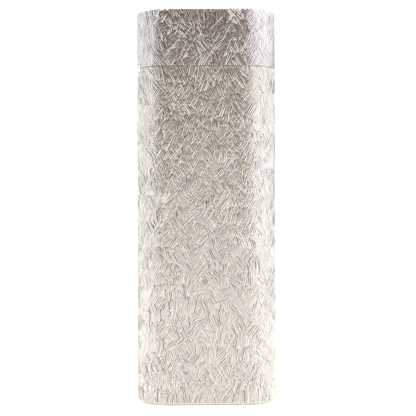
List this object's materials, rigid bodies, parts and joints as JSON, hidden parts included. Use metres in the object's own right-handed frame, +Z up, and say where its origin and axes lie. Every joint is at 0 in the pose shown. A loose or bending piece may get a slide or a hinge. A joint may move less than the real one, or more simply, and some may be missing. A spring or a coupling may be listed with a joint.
{
  "type": "pocket gas lighter",
  "caption": "Slim pocket gas lighter: engraved metal case with fully rounded ends, hinged lid, thumb roller, flint train, refillable tank and lid-operated burner valve.",
  "frame": {"origin": "centre of the flat base, on the surface it stands on", "axes": "+Z up along the case, +X towards the thumb roller and away from the lid's hinge, -Y the front face"},
  "size_m": [0.025, 0.0126, 0.07],
  "materials": {
    "engraved_silver": "silver plate, engraved all over with short crossing strokes",
    "plain_silver": "silver plate, polished",
    "liner_brass": "satin, lightly heat stained",
    "base_nickel": "fine brushed nickel",
    "screw_steel": "turned, bright",
    "tank_plastic": "moulded, slightly translucent white",
    "brass": "turned, satin",
    "rubber": "matte",
    "pad_felt": "compressed micro-porous foam",
    "spring_steel": "drawn wire",
    "stamped_steel": "stamped, satin",
    "deck_nickel": "satin nickel",
    "guard_steel": "thin sheet, heat tinted",
    "hard_steel": "hardened, dark, file-cut rim",
    "roller_steel": "knurled rim, bright flanks",
    "flint_alloy": "granular grey alloy"
  },
  "bodies": {
    "case": {"case_sleeve": "engraved_silver", "base_plate": "base_nickel", "base_screws": "screw_steel", "fuel_tank": "tank_plastic", "tank_cover": "tank_plastic", "fill_valve_body": "brass", "fill_valve_seal": "rubber", "fill_valve_spring": "spring_steel", "burner_valve_body": "brass", "metering_pad": "pad_felt", "stem_oring": "rubber", "burner_spring": "spring_steel", "lever_pin": "screw_steel", "lid_spring": "spring_steel", "mechanism_pillars": "brass", "deck_plate": "deck_nickel", "deck_screws": "screw_steel", "hinge_base": "plain_silver", "hinge_pin": "screw_steel", "wind_guard": "guard_steel", "flint_tube": "brass", "flint_spring": "spring_steel"},
    "lid": {"lid_shell": "engraved_silver", "lid_liner": "liner_brass", "lid_hinge_leaf": "plain_silver"},
    "plunger": {"cam_plunger": "stamped_steel"},
    "lever": {"valve_lever": "stamped_steel"},
    "burner": {"burner_stem": "brass", "burner_jet": "brass", "valve_seal_pad": "rubber"},
    "thumb_roller": {"spark_wheel": "hard_steel", "roller_front": "roller_steel", "roller_rear": "roller_steel", "roller_axle": "screw_steel"},
    "flint": {"flint": "flint_alloy"},
    "follower": {"flint_follower": "brass"},
    "flint_screw": {"flint_screw": "brass"},
    "adjuster": {"flame_adjuster": "brass", "adjuster_seal": "rubber"},
    "fill_stem": {"fill_valve_stem": "brass"}
  },
  "joints": [
    {"name": "lid_hinge", "type": "hinge", "parent": "case", "child": "lid", "pos_m": [-0.01179, 0, 0.06], "axis": [0, -1, 0], "range_deg": [0, 96]},
    {"name": "plunger_slide", "type": "slide", "parent": "case", "child": "plunger", "axis": [0, 0, -1], "range_m": [0, 0.00021]},
    {"name": "lever_tilt", "type": "hinge", "parent": "case", "child": "lever", "pos_m": [-0.007, 0, 0.0552], "axis": [0, -1, 0], "range_deg": [0, 2.7], "deforming": ["lid_spring"]},
    {"name": "burner_lift", "type": "slide", "parent": "case", "child": "burner", "axis": [0, 0, 1], "range_m": [0, 0.0003], "deforming": ["burner_spring"]},
    {"name": "roller_spin", "type": "hinge", "parent": "case", "child": "thumb_roller", "pos_m": [0.0068, 0, 0.0612], "axis": [0, 1, 0], "continuous": true},
    {"name": "flint_feed", "type": "slide", "parent": "case", "child": "flint", "axis": [0, 0, -1], "range_m": [0, 0.002], "stiffness_N_per_m": 60, "springref_m": -0.02},
    {"name": "follower_feed", "type": "slide", "parent": "case", "child": "follower", "axis": [0, 0, -1], "range_m": [0, 0.002], "deforming": ["flint_spring"]},
    {"name": "flint_screw_turn", "type": "hinge", "parent": "case", "child": "flint_screw", "pos_m": [0.0068, 0, 0.0005], "axis": [0, 0, -1], "continuous": true},
    {"name": "flame_adjust", "type": "hinge", "parent": "case", "child": "adjuster", "pos_m": [-0.0005, 0, 0.001], "axis": [0, 0, -1], "range_deg": [-135, 135]},
    {"name": "fill_press", "type": "slide", "parent": "case", "child": "fill_stem", "axis": [0, 0, 1], "range_m": [0, 0.001], "stiffness_N_per_m": 400, "springref_m": -0.002, "deforming": ["fill_valve_spring"]}
  ],
  "couplings": [
    {"joint": "plunger_slide", "follows": "lid_hinge", "m_per_rad": 0.00012},
    {"joint": "lever_tilt", "follows": "lid_hinge", "ratio": 0.026667},
    {"joint": "burner_lift", "follows": "lid_hinge", "m_per_rad": 0.00017333},
    {"joint": "follower_feed", "follows": "flint_feed", "ratio": 1}
  ]
}
